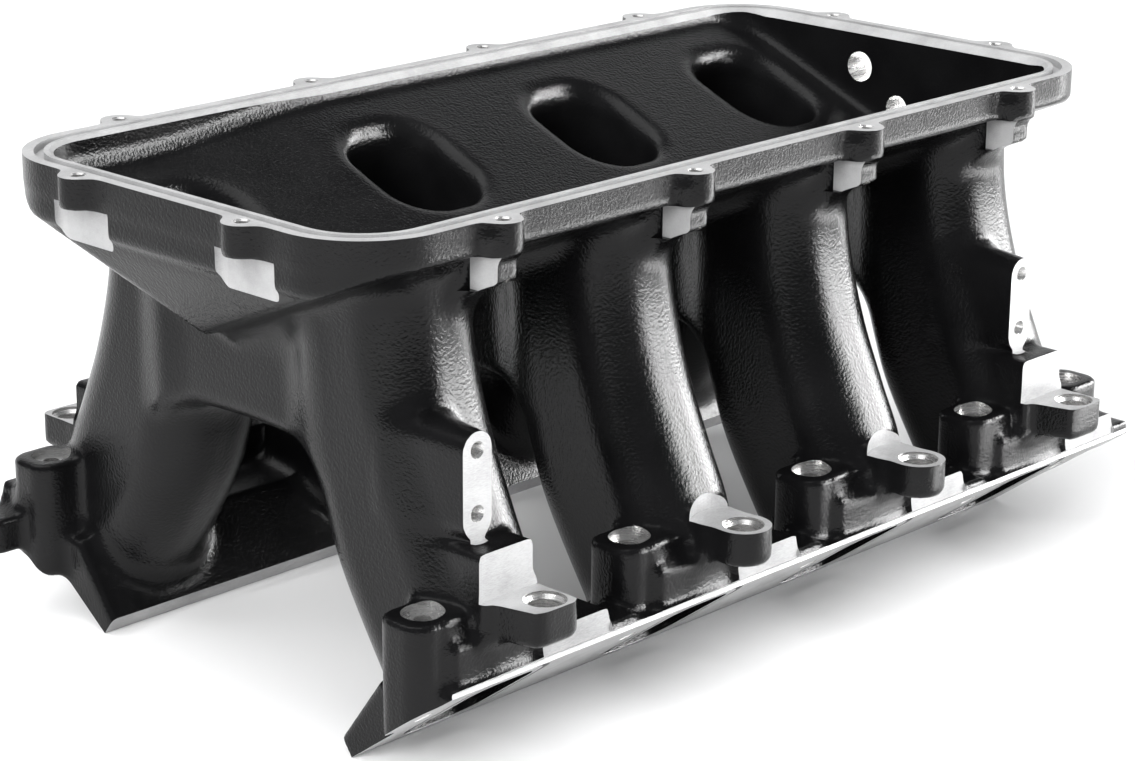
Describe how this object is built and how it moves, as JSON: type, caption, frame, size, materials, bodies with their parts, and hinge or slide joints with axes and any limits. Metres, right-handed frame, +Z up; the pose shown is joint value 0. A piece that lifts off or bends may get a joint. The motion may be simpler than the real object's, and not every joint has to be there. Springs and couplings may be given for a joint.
{
  "type": "intake manifold",
  "caption": "Black cast tunnel-ram intake manifold base for a V engine: open plenum tray with a bolting rim, tall curved runners, slanted head flanges with injector pads and rail stands.",
  "frame": {"origin": "middle of the part at the level of the head flanges' lowest edges, the bottom centre of its box", "axes": "+X towards the rear of the engine, +Y towards the right bank, +Z up, square to the plenum rim"},
  "size_m": [0.474, 0.3208, 0.2094],
  "materials": {
    "cast_body": "aluminium casting under a semi-gloss black powder coat",
    "machined_faces": "satin milled aluminium",
    "seal": "matt moulded rubber"
  },
  "bodies": {
    "root": {"rim_flange": "cast_body", "plenum_tray": "cast_body", "runner_left_1": "cast_body", "runner_left_2": "cast_body", "runner_left_3": "cast_body", "runner_left_4": "cast_body", "runner_right_1": "cast_body", "runner_right_2": "cast_body", "runner_right_3": "cast_body", "runner_right_4": "cast_body", "centre_web_1": "cast_body", "centre_web_2": "cast_body", "centre_web_3": "cast_body", "centre_web_4": "cast_body", "head_flange_left": "cast_body", "head_flange_right": "cast_body", "bolt_boss_left_1": "cast_body", "bolt_boss_left_2": "cast_body", "bolt_boss_left_3": "cast_body", "bolt_boss_left_4": "cast_body", "bolt_boss_left_5": "cast_body", "bolt_boss_right_1": "cast_body", "bolt_boss_right_2": "cast_body", "bolt_boss_right_3": "cast_body", "bolt_boss_right_4": "cast_body", "bolt_boss_right_5": "cast_body", "injector_boss_left_1": "cast_body", "injector_boss_left_2": "cast_body", "injector_boss_left_3": "cast_body", "injector_boss_left_4": "cast_body", "injector_boss_right_1": "cast_body", "injector_boss_right_2": "cast_body", "injector_boss_right_3": "cast_body", "injector_boss_right_4": "cast_body", "rail_stand_left_1": "cast_body", "rail_stand_left_2": "cast_body", "rail_stand_right_1": "cast_body", "rail_stand_right_2": "cast_body", "port_seal_left_1": "seal", "port_seal_left_2": "seal", "port_seal_left_3": "seal", "port_seal_left_4": "seal", "port_seal_right_1": "seal", "port_seal_right_2": "seal", "port_seal_right_3": "seal", "port_seal_right_4": "seal"}
  },
  "joints": []
}
